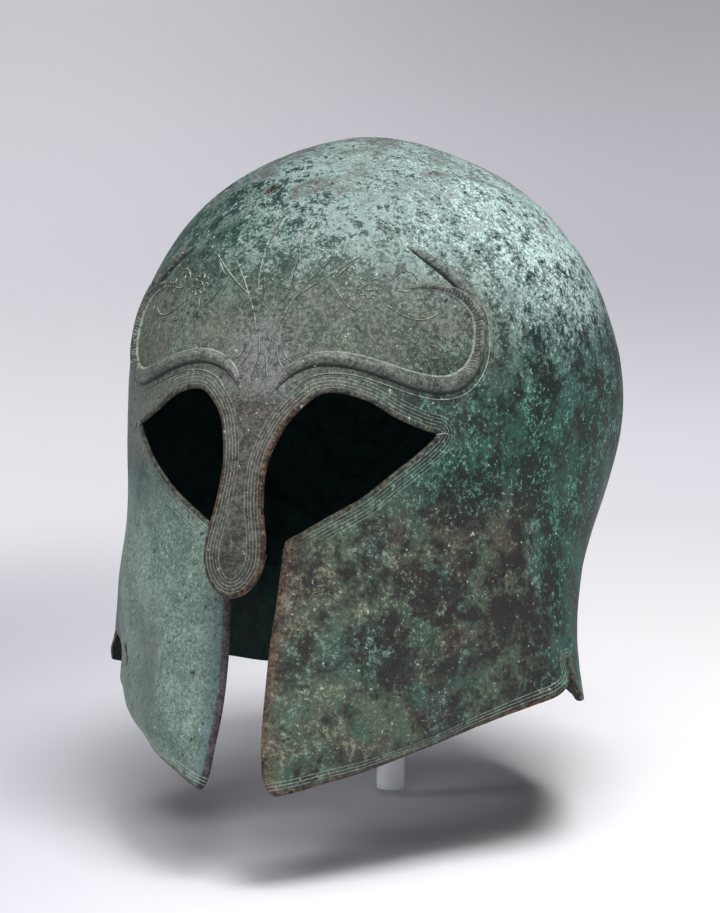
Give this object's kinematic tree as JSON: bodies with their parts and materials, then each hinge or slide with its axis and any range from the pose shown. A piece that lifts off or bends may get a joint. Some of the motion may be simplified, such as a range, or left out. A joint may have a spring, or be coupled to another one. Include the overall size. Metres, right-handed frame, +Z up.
{
  "type": "corinthian helmet on display stand",
  "caption": "Bronze helmet raised from one sheet, with a nose guard, eye openings, long cheek pieces, brow ridges and a neck guard, resting on a slim clear stand.",
  "frame": {"origin": "on the ground, under the upright axis of the helmet's dome", "axes": "+Z up, -Y is the way the helmet faces, +X is its wearer's left"},
  "size_m": [0.2058, 0.2608, 0.283],
  "materials": {
    "bronze": "bronze with a matte green and grey patina",
    "clear_acrylic": "clear, polished",
    "pad": "soft matte foam"
  },
  "bodies": {
    "root": {"helmet_shell": "bronze", "stand_base": "clear_acrylic", "stand_post": "clear_acrylic", "stand_pad": "pad"}
  },
  "joints": []
}
